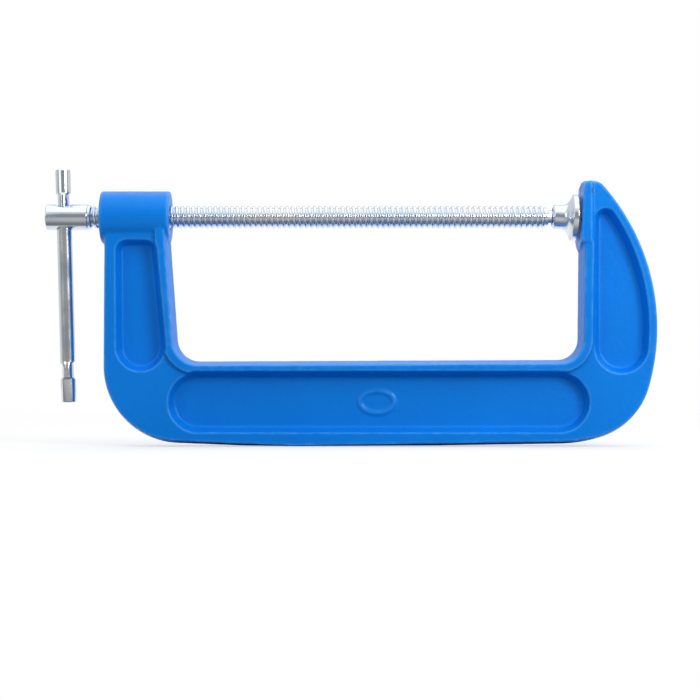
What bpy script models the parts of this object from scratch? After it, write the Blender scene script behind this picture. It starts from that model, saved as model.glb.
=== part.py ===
"""A six inch C clamp: a cast frame, a screw with a sliding tommy bar, and a swivel pad.

The clamp stands on the flat back of its frame. X runs along the screw towards the anvil, Z is up,
and the origin is the bottom centre of the whole clamp. All lengths are metres.
"""
import math

import bmesh
import bpy
from mathutils import Matrix, Vector

MM = 0.001

# The screw's axis, and the faces of the pad and the anvil, which both lean back at the top
AXIS_Z = 92.7 * MM
PAD_FACE_X = 91.4 * MM
ANVIL_FACE_X = 92.3 * MM
FACE_LEAN = math.radians(3.2)

# Half thicknesses of the casting, front to back, and the draft of its sides
WEB_HALF = 3.0 * MM
BODY_HALF = 8.0 * MM
FLANGE_HALF = 9.5 * MM
ANVIL_HALF = 10.0 * MM
DRAFT = 1.3 * MM
FLANGE_DRAFT = 1.6 * MM

# Outline of the frame, seen from the front
LEG_TOP_Z = 90.0 * MM
LEG_OUTER_TOP_X = -100.8 * MM
HEEL_CENTRE = (-69.9 * MM, 32.3 * MM)
HEEL_RADIUS = 31.3 * MM
FLAT_START = (-45.0 * MM, 0.0)
FLAT_END = (36.0 * MM, 0.0)
GROUND_OFF = 0.9 * MM
JAW_BACK_CENTRE = (36.2 * MM, 47.75 * MM)
JAW_BACK_RADIUS = 87.8 * MM
TOE_RADIUS = 29.75 * MM
TOE_ANGLE = math.radians(-15.5)
SOLE_RADIUS = 60.0 * MM
SOLE_ANGLE = math.radians(-73.0)
JAW_TOP_Z = 107.6 * MM
JAW_TIP_RADIUS = 4.9 * MM
JAW_NOSE_RADIUS = 2.4 * MM

# The throat: inner faces of the leg, the back and the jaw
THROAT_LEG_TOP_X = -74.1 * MM
THROAT_HEEL = (-70.1 * MM, 34.15 * MM)
THROAT_TOE = (91.5 * MM, 34.85 * MM)
THROAT_JAW_TOP_X = 92.1 * MM
THROAT_HEEL_RADIUS = 9.0 * MM
THROAT_TOE_RADIUS = 8.2 * MM
FLANGE_WIDTH = 6.6 * MM
FLANGE_TOP_Z = 89.0 * MM
FLANGE_JAW_Z = 84.0 * MM
BODY_SETBACK = 0.6 * MM

# Panels sunk into both sides
POCKET_REACH = 10.0 * MM
POCKET_FLARE = 4.0 * MM
LEG_POCKET_TOP_Z = 81.2 * MM
LEG_POCKET_TOP_X = (-93.2 * MM, -81.0 * MM)
LEG_POCKET_CENTRE = (-85.1 * MM, 40.1 * MM)
LEG_POCKET_RADIUS = 7.9 * MM
LEG_POCKET_CORNER = 2.5 * MM
BACK_POCKET_X = (-72.0 * MM, 93.6 * MM)
BACK_POCKET_Z = (7.5 * MM, 27.8 * MM)
JAW_POCKET_WALL_X = 99.6 * MM
JAW_POCKET_RADIUS = 81.4 * MM
JAW_POCKET_FOOT_X = 108.4 * MM
JAW_POCKET_FOOT_RADIUS = 8.8 * MM
JAW_POCKET_TIP_RADIUS = 2.4 * MM

# Boss for the screw, and the anvil
BOSS_X = (-101.7 * MM, -73.6 * MM)
BOSS_RADIUS = 10.6 * MM
BOSS_ROUNDING = 0.9 * MM
BORE_RADIUS = 4.9 * MM
BORE_CHAMFER = 0.9 * MM
ANVIL_Z = 91.7 * MM
ANVIL_RADIUS = 12.6 * MM
ANVIL_CHORD = 9.8 * MM
ANVIL_BACK_X = 96.6 * MM
ANVIL_BLOCK_Z = (82.3 * MM, 107.2 * MM)
ANVIL_BLOCK_STEP = 0.3 * MM
ANVIL_BLOCK_ROUNDING = 2.0 * MM

# Screw
HEAD_X = (-124.0 * MM, -107.1 * MM)
HEAD_RADIUS = 5.2 * MM
HEAD_CHAMFER = 0.5 * MM
SHOULDER_RADIUS = 4.85 * MM
THREAD_X = (-105.2 * MM, 79.4 * MM)
THREAD_RADIUS = 4.55 * MM
RUN_OUT_RADIUS = 3.9 * MM
NECK_RADIUS = 2.9 * MM
BALL_X = 85.5 * MM
BALL_RADIUS = 3.5 * MM
CROSS_HOLE_X = -117.0 * MM
CROSS_HOLE_RADIUS = 3.4 * MM

# Swivel pad, before it leans on the ball
COLLAR_LEFT_X = 81.3 * MM
COLLAR_RADIUS = 4.875 * MM
COLLAR_LIP = 1.2 * MM
FLARE_START_X = 85.0 * MM
FLARE_LENGTH = 4.6 * MM
FLARE_HEIGHT = 7.9 * MM
FLARE_TURN = math.radians(61.0)
DISC_RADIUS = 9.45 * MM
DISC_CHAMFER = 0.5 * MM
MOUTH_FLARE = 0.3 * MM
PLAY = 0.3 * MM

# Tommy bar, measured along its own axis from the head's centre
BAR_RADIUS = 3.05 * MM
BAR_TOP = 19.3 * MM
BAR_BOTTOM = -75.2 * MM
BAR_STUB = 9.3 * MM
BAR_CHAMFER = 0.5 * MM
CRIMP_TAPER_OUT = 1.8 * MM
CRIMP_FLAT = 3.0 * MM
CRIMP_TAPER_IN = 2.5 * MM
CRIMP_HALF_THICK = 2.2 * MM
CRIMP_HALF_WIDE = 3.6 * MM
BAR_LEAN = math.radians(1.5)

ROUND_STEPS = 48
SMALL_STEPS = 32
MERGE = 0.00001
EPS = 0.000002
SMOOTH_ANGLE = math.radians(35.0)

# Turns a front outline (x, z) drawn in a curve's own x-y plane to face the front
FACE_FRONT = Matrix.Rotation(math.radians(90.0), 4, "X")
# Lays a shape turned about Z along the screw's axis
ALONG_SCREW = Matrix.Rotation(math.radians(90.0), 4, "Y")
# Turns an outline (y, z) so that its extrusion runs along X
FACE_SCREW = Matrix(((0, 0, 1, 0), (1, 0, 0, 0), (0, 1, 0, 0), (0, 0, 0, 1)))


def clear_scene():
    for old in list(bpy.data.objects):
        bpy.data.objects.remove(old, do_unlink=True)


def new_collection(name):
    group = bpy.data.collections.new(name)
    bpy.context.scene.collection.children.link(group)
    return group


def arc(centre, radius, start, end, steps):
    """Points along an arc from one angle to another, in radians, both ends included."""
    points = []
    for i in range(steps + 1):
        angle = start + (end - start) * i / steps
        points.append((centre[0] + radius * math.cos(angle), centre[1] + radius * math.sin(angle)))
    return points


def fillet(before, corner, after, radius, steps):
    """An arc that rounds the corner between two straight runs."""
    here = Vector(corner)
    to_before = (Vector(before) - here).normalized()
    to_after = (Vector(after) - here).normalized()
    half = to_before.angle(to_after) / 2
    centre = here + (to_before + to_after).normalized() * (radius / math.sin(half))
    first = here + to_before * (radius / math.tan(half)) - centre
    last = here + to_after * (radius / math.tan(half)) - centre
    start = math.atan2(first.y, first.x)
    sweep = (math.atan2(last.y, last.x) - start + math.pi) % (2 * math.pi) - math.pi
    return arc(centre, radius, start, start + sweep, steps)


def tangent_angle(point, centre, radius, side):
    """Angle on a circle where the line to an outside point touches it."""
    away = Vector(point) - Vector(centre)
    return math.atan2(away.y, away.x) + side * math.acos(radius / away.length)


def mesh_object(name, group, build):
    """A new object whose mesh is filled in by build."""
    mesh = bpy.data.meshes.new(name)
    shape = bmesh.new()
    build(shape)
    shape.to_mesh(mesh)
    shape.free()
    made = bpy.data.objects.new(name, mesh)
    group.objects.link(made)
    return made


def hide_cutter(cutter):
    cutter.hide_render = True
    cutter.display_type = "WIRE"


def solid_from_curve(curve_object, group):
    """The curve's evaluated shape as a closed mesh object in the same place."""
    bpy.context.view_layer.update()
    depsgraph = bpy.context.evaluated_depsgraph_get()
    mesh = bpy.data.meshes.new_from_object(curve_object.evaluated_get(depsgraph))
    shape = bmesh.new()
    shape.from_mesh(mesh)
    shape.transform(curve_object.matrix_world)
    bmesh.ops.remove_doubles(shape, verts=shape.verts, dist=EPS)
    bmesh.ops.recalc_face_normals(shape, faces=shape.faces)
    shape.to_mesh(mesh)
    shape.free()
    name = curve_object.name
    bpy.data.objects.remove(curve_object, do_unlink=True)
    made = bpy.data.objects.new(name, mesh)
    group.objects.link(made)
    return made


def plate(name, group, outline, half, draft=0.0, grow=0.0, turn=FACE_FRONT, place=(0, 0, 0)):
    """A flat outline given thickness, drawn where the plate is widest.

    With draft, the plate narrows from its middle to both faces. With grow, the outline is moved out
    by that much first.
    """
    curve = bpy.data.curves.new(name, "CURVE")
    curve.dimensions = "2D"
    curve.fill_mode = "BOTH"
    spline = curve.splines.new("POLY")
    spline.points.add(len(outline) - 1)
    for point, (x, y) in zip(spline.points, outline):
        point.co = (x, y, 0, 1)
    spline.use_cyclic_u = True
    stretch = 1.0
    if draft:
        curve.bevel_depth = draft
        curve.bevel_resolution = 0
        curve.offset = grow - draft
        stretch = half / draft
    else:
        curve.extrude = half
    made = bpy.data.objects.new(name, curve)
    made.matrix_world = Matrix.Translation(place) @ turn @ Matrix.Diagonal((1, 1, stretch, 1))
    group.objects.link(made)
    return solid_from_curve(made, group)


def turned(name, group, profile, steps):
    """A shape turned about the screw's axis, from (radius, x) points, right end first."""
    def build(shape):
        points = [shape.verts.new((radius, 0, x)) for radius, x in profile]
        for a, b in zip(points, points[1:]):
            shape.edges.new((a, b))

    made = mesh_object(name, group, build)
    made.matrix_world = Matrix.Translation((0, 0, AXIS_Z)) @ ALONG_SCREW
    screw = made.modifiers.new("Turn", "SCREW")
    screw.axis = "Z"
    screw.steps = steps
    screw.render_steps = steps
    screw.use_merge_vertices = True
    screw.merge_threshold = MERGE
    screw.use_smooth_shade = True
    return made


def boolean(target, operation, other):
    cut = target.modifiers.new(operation.title() + " " + other.name, "BOOLEAN")
    cut.operation = operation
    cut.solver = "EXACT"
    cut.object = other


def paint(target, name, colour, roughness, metallic):
    """Gives an object a Principled material of its own."""
    material = bpy.data.materials.new(name)
    material.use_nodes = True
    shader = material.node_tree.nodes["Principled BSDF"]
    shader.inputs["Base Color"].default_value = (*colour, 1)
    shader.inputs["Roughness"].default_value = roughness
    shader.inputs["Metallic"].default_value = metallic
    target.data.materials.clear()
    target.data.materials.append(material)


def throat_edge(offset, leg_top_z, jaw_top_z):
    """The C's inner edge from the leg's top to the jaw, moved by offset into the metal."""
    leg_lean = (THROAT_HEEL[0] - THROAT_LEG_TOP_X) / (LEG_TOP_Z - THROAT_HEEL[1])
    jaw_lean = (THROAT_JAW_TOP_X - THROAT_TOE[0]) / (LEG_TOP_Z - THROAT_TOE[1])
    heel = (THROAT_HEEL[0] - offset, THROAT_HEEL[1] - offset)
    toe = (THROAT_TOE[0] + offset, THROAT_TOE[1] - offset)
    leg_top = (heel[0] - leg_lean * (leg_top_z - heel[1]), leg_top_z)
    jaw_top = (toe[0] + jaw_lean * (jaw_top_z - toe[1]), jaw_top_z)
    edge = [leg_top]
    edge += fillet(leg_top, heel, toe, THROAT_HEEL_RADIUS + offset, 8)
    edge += fillet(heel, toe, jaw_top, THROAT_TOE_RADIUS + offset, 8)
    edge.append(jaw_top)
    return edge


def run_down(start, through, drop):
    """The end of a straight run that passes through a point and on down by drop."""
    slope = (through[0] - start[0]) / (start[1] - through[1])
    return (through[0] + slope * drop, through[1] - drop)


def frame_outline():
    """The frame's silhouette, from the leg's outer top down round the heel, the toe and the jaw.

    The middle of the back is drawn too deep by what is ground off it.
    """
    spread = JAW_BACK_RADIUS - TOE_RADIUS
    toe = (
        JAW_BACK_CENTRE[0] + spread * math.cos(TOE_ANGLE),
        JAW_BACK_CENTRE[1] + spread * math.sin(TOE_ANGLE),
    )
    drop = SOLE_RADIUS - TOE_RADIUS
    sole = (toe[0] - drop * math.cos(SOLE_ANGLE), toe[1] - drop * math.sin(SOLE_ANGLE))
    heel_end = tangent_angle(FLAT_START, HEEL_CENTRE, HEEL_RADIUS, -1)
    sole_start = tangent_angle(FLAT_END, sole, SOLE_RADIUS, 1)
    sole_run = arc(sole, SOLE_RADIUS, sole_start, SOLE_ANGLE, 8)
    tip_rise = JAW_TOP_Z - JAW_TIP_RADIUS - JAW_BACK_CENTRE[1]
    tip_run = math.sqrt((JAW_BACK_RADIUS - JAW_TIP_RADIUS) ** 2 - tip_rise ** 2)
    tip = (JAW_BACK_CENTRE[0] + tip_run, JAW_TOP_Z - JAW_TIP_RADIUS)
    tip_angle = math.atan2(tip_rise, tip_run)
    nose_x = THROAT_JAW_TOP_X + BODY_SETBACK
    nose = (nose_x + JAW_NOSE_RADIUS, JAW_TOP_Z - JAW_NOSE_RADIUS)
    outline = [(LEG_OUTER_TOP_X, LEG_TOP_Z)]
    outline += arc(HEEL_CENTRE, HEEL_RADIUS, -math.pi, heel_end, 16)
    outline += [
        run_down(outline[-1], FLAT_START, GROUND_OFF),
        run_down(sole_run[0], FLAT_END, GROUND_OFF),
    ]
    outline += sole_run
    outline += arc(toe, TOE_RADIUS, SOLE_ANGLE, TOE_ANGLE, 14)[1:]
    outline += arc(JAW_BACK_CENTRE, JAW_BACK_RADIUS, TOE_ANGLE, tip_angle, 20)[1:]
    outline += arc(tip, JAW_TIP_RADIUS, tip_angle, math.pi / 2, 5)[1:]
    outline += arc(nose, JAW_NOSE_RADIUS, math.pi / 2, math.pi, 4)
    inner = throat_edge(BODY_SETBACK, LEG_TOP_Z, FLANGE_JAW_Z)
    outline += list(reversed(inner))
    return outline


def flange_outline():
    inner = throat_edge(0.0, FLANGE_TOP_Z, FLANGE_JAW_Z)
    outer = throat_edge(FLANGE_WIDTH, FLANGE_TOP_Z, FLANGE_JAW_Z)
    return outer + list(reversed(inner))


def anvil_outline():
    """The anvil's round face across the frame, cut off flat just inside the anvil block."""
    corner = math.acos(ANVIL_CHORD / ANVIL_RADIUS)
    upper = arc((0, 0), ANVIL_RADIUS, corner, math.pi - corner, 12)
    lower = arc((0, 0), ANVIL_RADIUS, math.pi + corner, 2 * math.pi - corner, 12)
    return upper + lower


def anvil_block(cutters):
    """The block behind the anvil's face: it leans as the face does, and is rounded at its top."""
    low, high = ANVIL_BLOCK_Z
    left = ANVIL_FACE_X + ANVIL_BLOCK_STEP
    lean = math.tan(FACE_LEAN)
    top_left = (left + (high - ANVIL_Z) * lean, high)
    low_left = (left + (low - ANVIL_Z) * lean, low)
    top_right = (ANVIL_BACK_X, high)
    outline = [low_left, (ANVIL_BACK_X, low), top_right]
    outline += fillet(top_right, top_left, low_left, ANVIL_BLOCK_ROUNDING, 4)
    block = plate("anvil_block", cutters, outline, ANVIL_HALF)
    shape = bmesh.new()
    shape.from_mesh(block.data)
    crown = high - ANVIL_BLOCK_ROUNDING / 2
    rims = []
    for edge in shape.edges:
        ends = [vert.co for vert in edge.verts]
        if min(end.z for end in ends) > crown and abs(ends[0].y - ends[1].y) < EPS:
            rims.append(edge)
    bmesh.ops.bevel(
        shape, geom=rims, offset=ANVIL_BLOCK_ROUNDING, offset_type="OFFSET", segments=3,
        profile=0.5, affect="EDGES", clamp_overlap=True,
    )
    shape.to_mesh(block.data)
    shape.free()
    return block


def leg_pocket_outline():
    left, right = LEG_POCKET_TOP_X
    top_left = (left, LEG_POCKET_TOP_Z)
    top_right = (right, LEG_POCKET_TOP_Z)
    start = tangent_angle(top_left, LEG_POCKET_CENTRE, LEG_POCKET_RADIUS, 1)
    end = tangent_angle(top_right, LEG_POCKET_CENTRE, LEG_POCKET_RADIUS, -1)
    if end < start:
        end += 2 * math.pi
    bottom = arc(LEG_POCKET_CENTRE, LEG_POCKET_RADIUS, start, end, 14)
    return (
        fillet(bottom[-1], top_right, top_left, LEG_POCKET_CORNER, 4)
        + fillet(top_right, top_left, bottom[0], LEG_POCKET_CORNER, 4)
        + bottom
    )


def back_pocket_outline():
    low, high = BACK_POCKET_Z
    radius = (high - low) / 2
    middle = (low + high) / 2
    left = (BACK_POCKET_X[0] + radius, middle)
    right = (BACK_POCKET_X[1] - radius, middle)
    return (
        arc(left, radius, math.pi / 2, 3 * math.pi / 2, 14)
        + arc(right, radius, -math.pi / 2, math.pi / 2, 14)
    )


def jaw_pocket_outline():
    """A fin: straight beside the throat, curved along the jaw's back, with a round foot."""
    tip_run = JAW_POCKET_WALL_X + JAW_POCKET_TIP_RADIUS - JAW_BACK_CENTRE[0]
    tip_rise = math.sqrt((JAW_POCKET_RADIUS - JAW_POCKET_TIP_RADIUS) ** 2 - tip_run ** 2)
    tip = (JAW_POCKET_WALL_X + JAW_POCKET_TIP_RADIUS, JAW_BACK_CENTRE[1] + tip_rise)
    foot_run = JAW_POCKET_FOOT_X - JAW_BACK_CENTRE[0]
    reach = JAW_POCKET_RADIUS - JAW_POCKET_FOOT_RADIUS
    foot_drop = -math.sqrt(max(reach ** 2 - foot_run ** 2, 0.0))
    foot = (JAW_POCKET_FOOT_X, JAW_BACK_CENTRE[1] + foot_drop)
    foot_angle = math.atan2(foot_drop, foot_run)
    tip_angle = math.atan2(tip_rise, tip_run)
    return (
        arc(foot, JAW_POCKET_FOOT_RADIUS, -math.pi, foot_angle, 12)
        + arc(JAW_BACK_CENTRE, JAW_POCKET_RADIUS, foot_angle, tip_angle, 14)[1:]
        + arc(tip, JAW_POCKET_TIP_RADIUS, tip_angle, math.pi, 5)[1:]
    )


def frame_pockets(cutters):
    """Tapered cutters for the sunk panels, one from each side, that leave the web between them."""
    outlines = {
        "leg_panel": leg_pocket_outline(),
        "back_panel": back_pocket_outline(),
        "jaw_panel": jaw_pocket_outline(),
    }
    made = []
    middle = WEB_HALF + POCKET_REACH
    for name, outline in outlines.items():
        for side, way in (("front", -1), ("rear", 1)):
            made.append(
                plate(
                    f"{name}_{side}", cutters, outline, POCKET_REACH,
                    draft=POCKET_FLARE, grow=POCKET_FLARE, place=(0, way * middle, 0),
                )
            )
    return made


def boss_blank(cutters):
    left, right = BOSS_X
    flat = BOSS_RADIUS - BOSS_ROUNDING
    right_edge = arc((flat, right - BOSS_ROUNDING), BOSS_ROUNDING, math.pi / 2, 0, 4)
    left_edge = arc((flat, left + BOSS_ROUNDING), BOSS_ROUNDING, 0, -math.pi / 2, 4)
    profile = [(0, right)] + right_edge + left_edge + [(0, left)]
    return turned("boss_blank", cutters, profile, ROUND_STEPS)


def bore_cutter(cutters):
    """The tapped bore, with a countersink at both mouths of the boss."""
    left, right = BOSS_X
    wide = BORE_RADIUS + BORE_CHAMFER
    past = BORE_CHAMFER
    profile = [
        (0, right + past),
        (wide + past, right + past),
        (BORE_RADIUS, right - BORE_CHAMFER),
        (BORE_RADIUS, left + BORE_CHAMFER),
        (wide + past, left - past),
        (0, left - past),
    ]
    return turned("screw_bore", cutters, profile, ROUND_STEPS)


def grinding_cutter(cutters):
    """Takes the ridge off the middle of the back, so that the frame stands on a flat."""
    length = FLAT_END[0] - FLAT_START[0]
    bpy.ops.mesh.primitive_cube_add(size=1, location=(0, 0, -GROUND_OFF))
    block = bpy.context.object
    block.name = "ground_flat"
    block.scale = (2 * length, 4 * BODY_HALF, 2 * GROUND_OFF)
    for owner in list(block.users_collection):
        owner.objects.unlink(block)
    cutters.objects.link(block)
    return block


def make_frame(group, cutters):
    """The casting: a C of drafted section with a raised inner flange, a boss and an anvil."""
    frame = plate("frame", group, frame_outline(), BODY_HALF, draft=DRAFT)
    flange = plate("inner_flange", cutters, flange_outline(), FLANGE_HALF, draft=FLANGE_DRAFT)
    block = anvil_block(cutters)
    disc_half = (ANVIL_BACK_X - ANVIL_FACE_X) / 2 - ANVIL_BLOCK_STEP
    lean = Matrix.Rotation(FACE_LEAN, 4, "Y")
    middle = Vector((ANVIL_FACE_X, 0, ANVIL_Z)) + lean @ Vector((disc_half, 0, 0))
    disc = plate(
        "anvil_disc", cutters, anvil_outline(), disc_half, turn=lean @ FACE_SCREW, place=middle,
    )
    boolean(frame, "UNION", flange)
    for pocket in frame_pockets(cutters):
        boolean(frame, "DIFFERENCE", pocket)
    for lump in (boss_blank(cutters), block, disc):
        boolean(frame, "UNION", lump)
    boolean(frame, "DIFFERENCE", bore_cutter(cutters))
    boolean(frame, "DIFFERENCE", grinding_cutter(cutters))
    for cutter in cutters.objects:
        hide_cutter(cutter)
    paint(frame, "blue enamel", (0.004, 0.16, 0.66), 0.38, 0.0)
    return frame


def make_spindle(group, cutters):
    """The screw: a smooth head, the thread at its full diameter, a neck and a ball end."""
    head_left, head_right = HEAD_X
    thread_left, thread_right = THREAD_X
    neck_end = BALL_X - math.sqrt(BALL_RADIUS ** 2 - NECK_RADIUS ** 2)
    ball_start = math.atan2(neck_end - BALL_X, NECK_RADIUS)
    depth = THREAD_RADIUS - RUN_OUT_RADIUS
    profile = arc((0, BALL_X), BALL_RADIUS, math.pi / 2, ball_start, 7)
    profile += [
        (NECK_RADIUS, thread_right + depth),
        (RUN_OUT_RADIUS, thread_right + depth / 2),
        (THREAD_RADIUS, thread_right - depth),
        (THREAD_RADIUS, thread_left),
        (SHOULDER_RADIUS, thread_left),
        (SHOULDER_RADIUS, head_right),
        (HEAD_RADIUS - HEAD_CHAMFER, head_right),
        (HEAD_RADIUS, head_right - HEAD_CHAMFER),
        (HEAD_RADIUS, head_left + HEAD_CHAMFER),
        (HEAD_RADIUS - HEAD_CHAMFER, head_left),
        (0, head_left),
    ]
    spindle = turned("spindle", group, profile, SMALL_STEPS)
    bpy.ops.mesh.primitive_cylinder_add(
        vertices=SMALL_STEPS, radius=CROSS_HOLE_RADIUS, depth=4 * HEAD_RADIUS,
        location=(CROSS_HOLE_X, 0, AXIS_Z),
    )
    hole = bpy.context.object
    hole.name = "cross_hole"
    for owner in list(hole.users_collection):
        owner.objects.unlink(hole)
    cutters.objects.link(hole)
    hide_cutter(hole)
    boolean(spindle, "DIFFERENCE", hole)
    paint(spindle, "zinc plated screw", (0.74, 0.76, 0.79), 0.24, 1.0)
    return spindle


def make_swivel_pad(group):
    """A bell-shaped pad with a socket that is closed in round the screw's ball."""
    socket = BALL_RADIUS + PLAY
    mouth = NECK_RADIUS + PLAY
    mouth_angle = -math.acos(mouth / socket)
    lip_centre = (COLLAR_RADIUS - COLLAR_LIP, COLLAR_LEFT_X + COLLAR_LIP)
    flare = []
    for i in range(9):
        turn = FLARE_TURN * (1 - i / 8)
        radius = COLLAR_RADIUS + FLARE_HEIGHT * (1 - math.cos(turn))
        flare.append((radius, FLARE_START_X + FLARE_LENGTH * math.sin(turn)))
    profile = [
        (0, PAD_FACE_X),
        (DISC_RADIUS - DISC_CHAMFER, PAD_FACE_X),
        (DISC_RADIUS, PAD_FACE_X - DISC_CHAMFER),
        (DISC_RADIUS, flare[0][1] + DISC_CHAMFER),
    ]
    profile += flare
    profile += arc(lip_centre, COLLAR_LIP, 0, -math.pi / 2, 4)
    profile += [(mouth + MOUTH_FLARE, COLLAR_LEFT_X)]
    profile += arc((0, BALL_X), socket, mouth_angle, math.pi / 2, 9)
    pad = turned("swivel_pad", group, profile, ROUND_STEPS)
    ball = Matrix.Translation((BALL_X, 0, AXIS_Z))
    pad.matrix_world = ball @ Matrix.Rotation(FACE_LEAN, 4, "Y") @ ball.inverted() @ pad.matrix_world
    paint(pad, "zinc plated pad", (0.76, 0.78, 0.81), 0.20, 1.0)
    return pad


def make_tommy_bar(group):
    """A round bar, pinched flat near both ends so that it can't slide out of the head."""
    def crimp(end, way):
        """Sections of one end, from its tip inwards, as (height, half thickness, half width)."""
        tip = BAR_RADIUS - BAR_CHAMFER
        stub = end - way * BAR_STUB
        flat = stub - way * CRIMP_TAPER_OUT
        inner = flat - way * CRIMP_FLAT
        return [
            (end, tip, tip),
            (end - way * BAR_CHAMFER, BAR_RADIUS, BAR_RADIUS),
            (stub, BAR_RADIUS, BAR_RADIUS),
            (flat, CRIMP_HALF_THICK, CRIMP_HALF_WIDE),
            (inner, CRIMP_HALF_THICK, CRIMP_HALF_WIDE),
            (inner - way * CRIMP_TAPER_IN, BAR_RADIUS, BAR_RADIUS),
        ]

    def build(shape):
        sections = crimp(BAR_TOP, 1) + crimp(BAR_BOTTOM, -1)[::-1]
        rings = []
        for height, thick, wide in sections:
            ring = []
            for i in range(SMALL_STEPS):
                turn = 2 * math.pi * i / SMALL_STEPS
                ring.append(shape.verts.new((thick * math.cos(turn), wide * math.sin(turn), height)))
            rings.append(ring)
        for upper, lower in zip(rings, rings[1:]):
            for i in range(SMALL_STEPS):
                j = (i + 1) % SMALL_STEPS
                shape.faces.new((upper[i], lower[i], lower[j], upper[j]))
        shape.faces.new(rings[0])
        shape.faces.new(rings[-1][::-1])

    bar = mesh_object("tommy_bar", group, build)
    bar.location = (CROSS_HOLE_X, 0, AXIS_Z)
    bar.rotation_euler = (0, -BAR_LEAN, 0)
    bar.data.shade_smooth()
    bar.data.set_sharp_from_angle(angle=SMOOTH_ANGLE)
    paint(bar, "zinc plated bar", (0.75, 0.77, 0.80), 0.22, 1.0)
    return bar


def main():
    clear_scene()
    group = new_collection("c_clamp")
    cutters = new_collection("c_clamp_cutters")
    make_frame(group, cutters)
    screw_axis = bpy.data.objects.new("screw_axis", None)
    screw_axis.location = (0, 0, AXIS_Z)
    screw_axis.empty_display_size = HEAD_RADIUS
    group.objects.link(screw_axis)
    bpy.context.view_layer.update()
    for piece in (make_spindle(group, cutters), make_swivel_pad(group), make_tommy_bar(group)):
        piece.parent = screw_axis
        piece.matrix_parent_inverse = screw_axis.matrix_world.inverted()


main()
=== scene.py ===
import math

import bmesh
import bpy
import numpy as np
from mathutils import Matrix, Vector


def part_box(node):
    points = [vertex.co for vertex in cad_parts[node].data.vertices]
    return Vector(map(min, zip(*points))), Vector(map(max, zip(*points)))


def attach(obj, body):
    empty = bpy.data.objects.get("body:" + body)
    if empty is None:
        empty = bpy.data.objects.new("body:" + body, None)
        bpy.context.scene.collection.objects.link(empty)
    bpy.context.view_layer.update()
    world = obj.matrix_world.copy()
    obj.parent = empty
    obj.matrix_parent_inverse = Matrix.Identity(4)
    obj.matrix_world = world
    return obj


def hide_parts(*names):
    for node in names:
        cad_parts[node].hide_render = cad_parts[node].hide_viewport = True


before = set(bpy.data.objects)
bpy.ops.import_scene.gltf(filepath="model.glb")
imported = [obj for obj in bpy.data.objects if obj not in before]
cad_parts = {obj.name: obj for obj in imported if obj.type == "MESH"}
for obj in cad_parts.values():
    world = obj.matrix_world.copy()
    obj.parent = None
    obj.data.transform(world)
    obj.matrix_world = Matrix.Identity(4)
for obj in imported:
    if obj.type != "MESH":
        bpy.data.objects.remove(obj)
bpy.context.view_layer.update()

# ---------------------------------------------------------------------------------------------
# The frame: one malleable iron casting in the shape of a C. It is poured in a two-part mould, so its
# sides fall away from a parting line at mid-thickness, and its corners are rounded as moulding sand
# leaves them. The boss is drilled and tapped, the back is ground, and the whole is sprayed blue.
# ---------------------------------------------------------------------------------------------
MM = 0.001
frame_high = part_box("frame")[1]
spindle_low, spindle_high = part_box("spindle")
screw_height = (spindle_low[2] + spindle_high[2]) / 2

web_half = 3.0 * MM
body_half = 8.0 * MM
flange_half = 9.5 * MM
anvil_half = 9.95 * MM
body_draft = 1.3 * MM
flange_draft = 1.6 * MM

heel_centre = (-69.7 * MM, 32.3 * MM)
heel_radius = 31.3 * MM
jaw_back_centre = (36.2 * MM, 47.75 * MM)
jaw_back_radius = 87.8 * MM
toe_radius, toe_angle = 29.4 * MM, math.radians(-16.2)
sole_radius, sole_angle = 60.0 * MM, math.radians(-73.0)
leg_top = 90.0 * MM
leg_outer = -100.6 * MM
flat_start = (-45.0 * MM, 0.0)
flat_end = (36.0 * MM, 0.0)
ground_off = 0.9 * MM
jaw_top = frame_high[2]
jaw_tip_radius = 4.9 * MM
jaw_nose_radius = 2.4 * MM

throat_leg_top = (-74.1 * MM, 90.0 * MM)
throat_heel = (-70.1 * MM, 34.15 * MM)
throat_toe = (91.5 * MM, 34.85 * MM)
throat_jaw_top = (92.1 * MM, 90.0 * MM)
throat_heel_radius = 9.0 * MM
throat_toe_radius = 8.2 * MM
flange_width = 6.6 * MM
body_setback = 0.6 * MM
throat_jaw_end = 84 * MM
flange_leg_end = 89 * MM


def arc(centre, radius, start, end, steps):
    """Points on an arc between two angles in radians, both ends included."""
    angles = [start + (end - start) * i / steps for i in range(steps + 1)]
    return [(centre[0] + radius * math.cos(a), centre[1] + radius * math.sin(a)) for a in angles]


def fillet(before, corner, after, radius, steps):
    """The arc that rounds the corner between two straight runs."""
    here = Vector(corner)
    to_before = (Vector(before) - here).normalized()
    to_after = (Vector(after) - here).normalized()
    half = to_before.angle(to_after) / 2
    centre = here + (to_before + to_after).normalized() * (radius / math.sin(half))
    first = here + to_before * (radius / math.tan(half)) - centre
    last = here + to_after * (radius / math.tan(half)) - centre
    start = math.atan2(first.y, first.x)
    sweep = (math.atan2(last.y, last.x) - start + math.pi) % (2 * math.pi) - math.pi
    return arc(centre, radius, start, start + sweep, steps)


def tangent_angle(point, centre, radius, side):
    """Angle on a circle where the line to an outside point touches it."""
    away = Vector(point) - Vector(centre)
    return math.atan2(away.y, away.x) + side * math.acos(radius / away.length)


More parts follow.
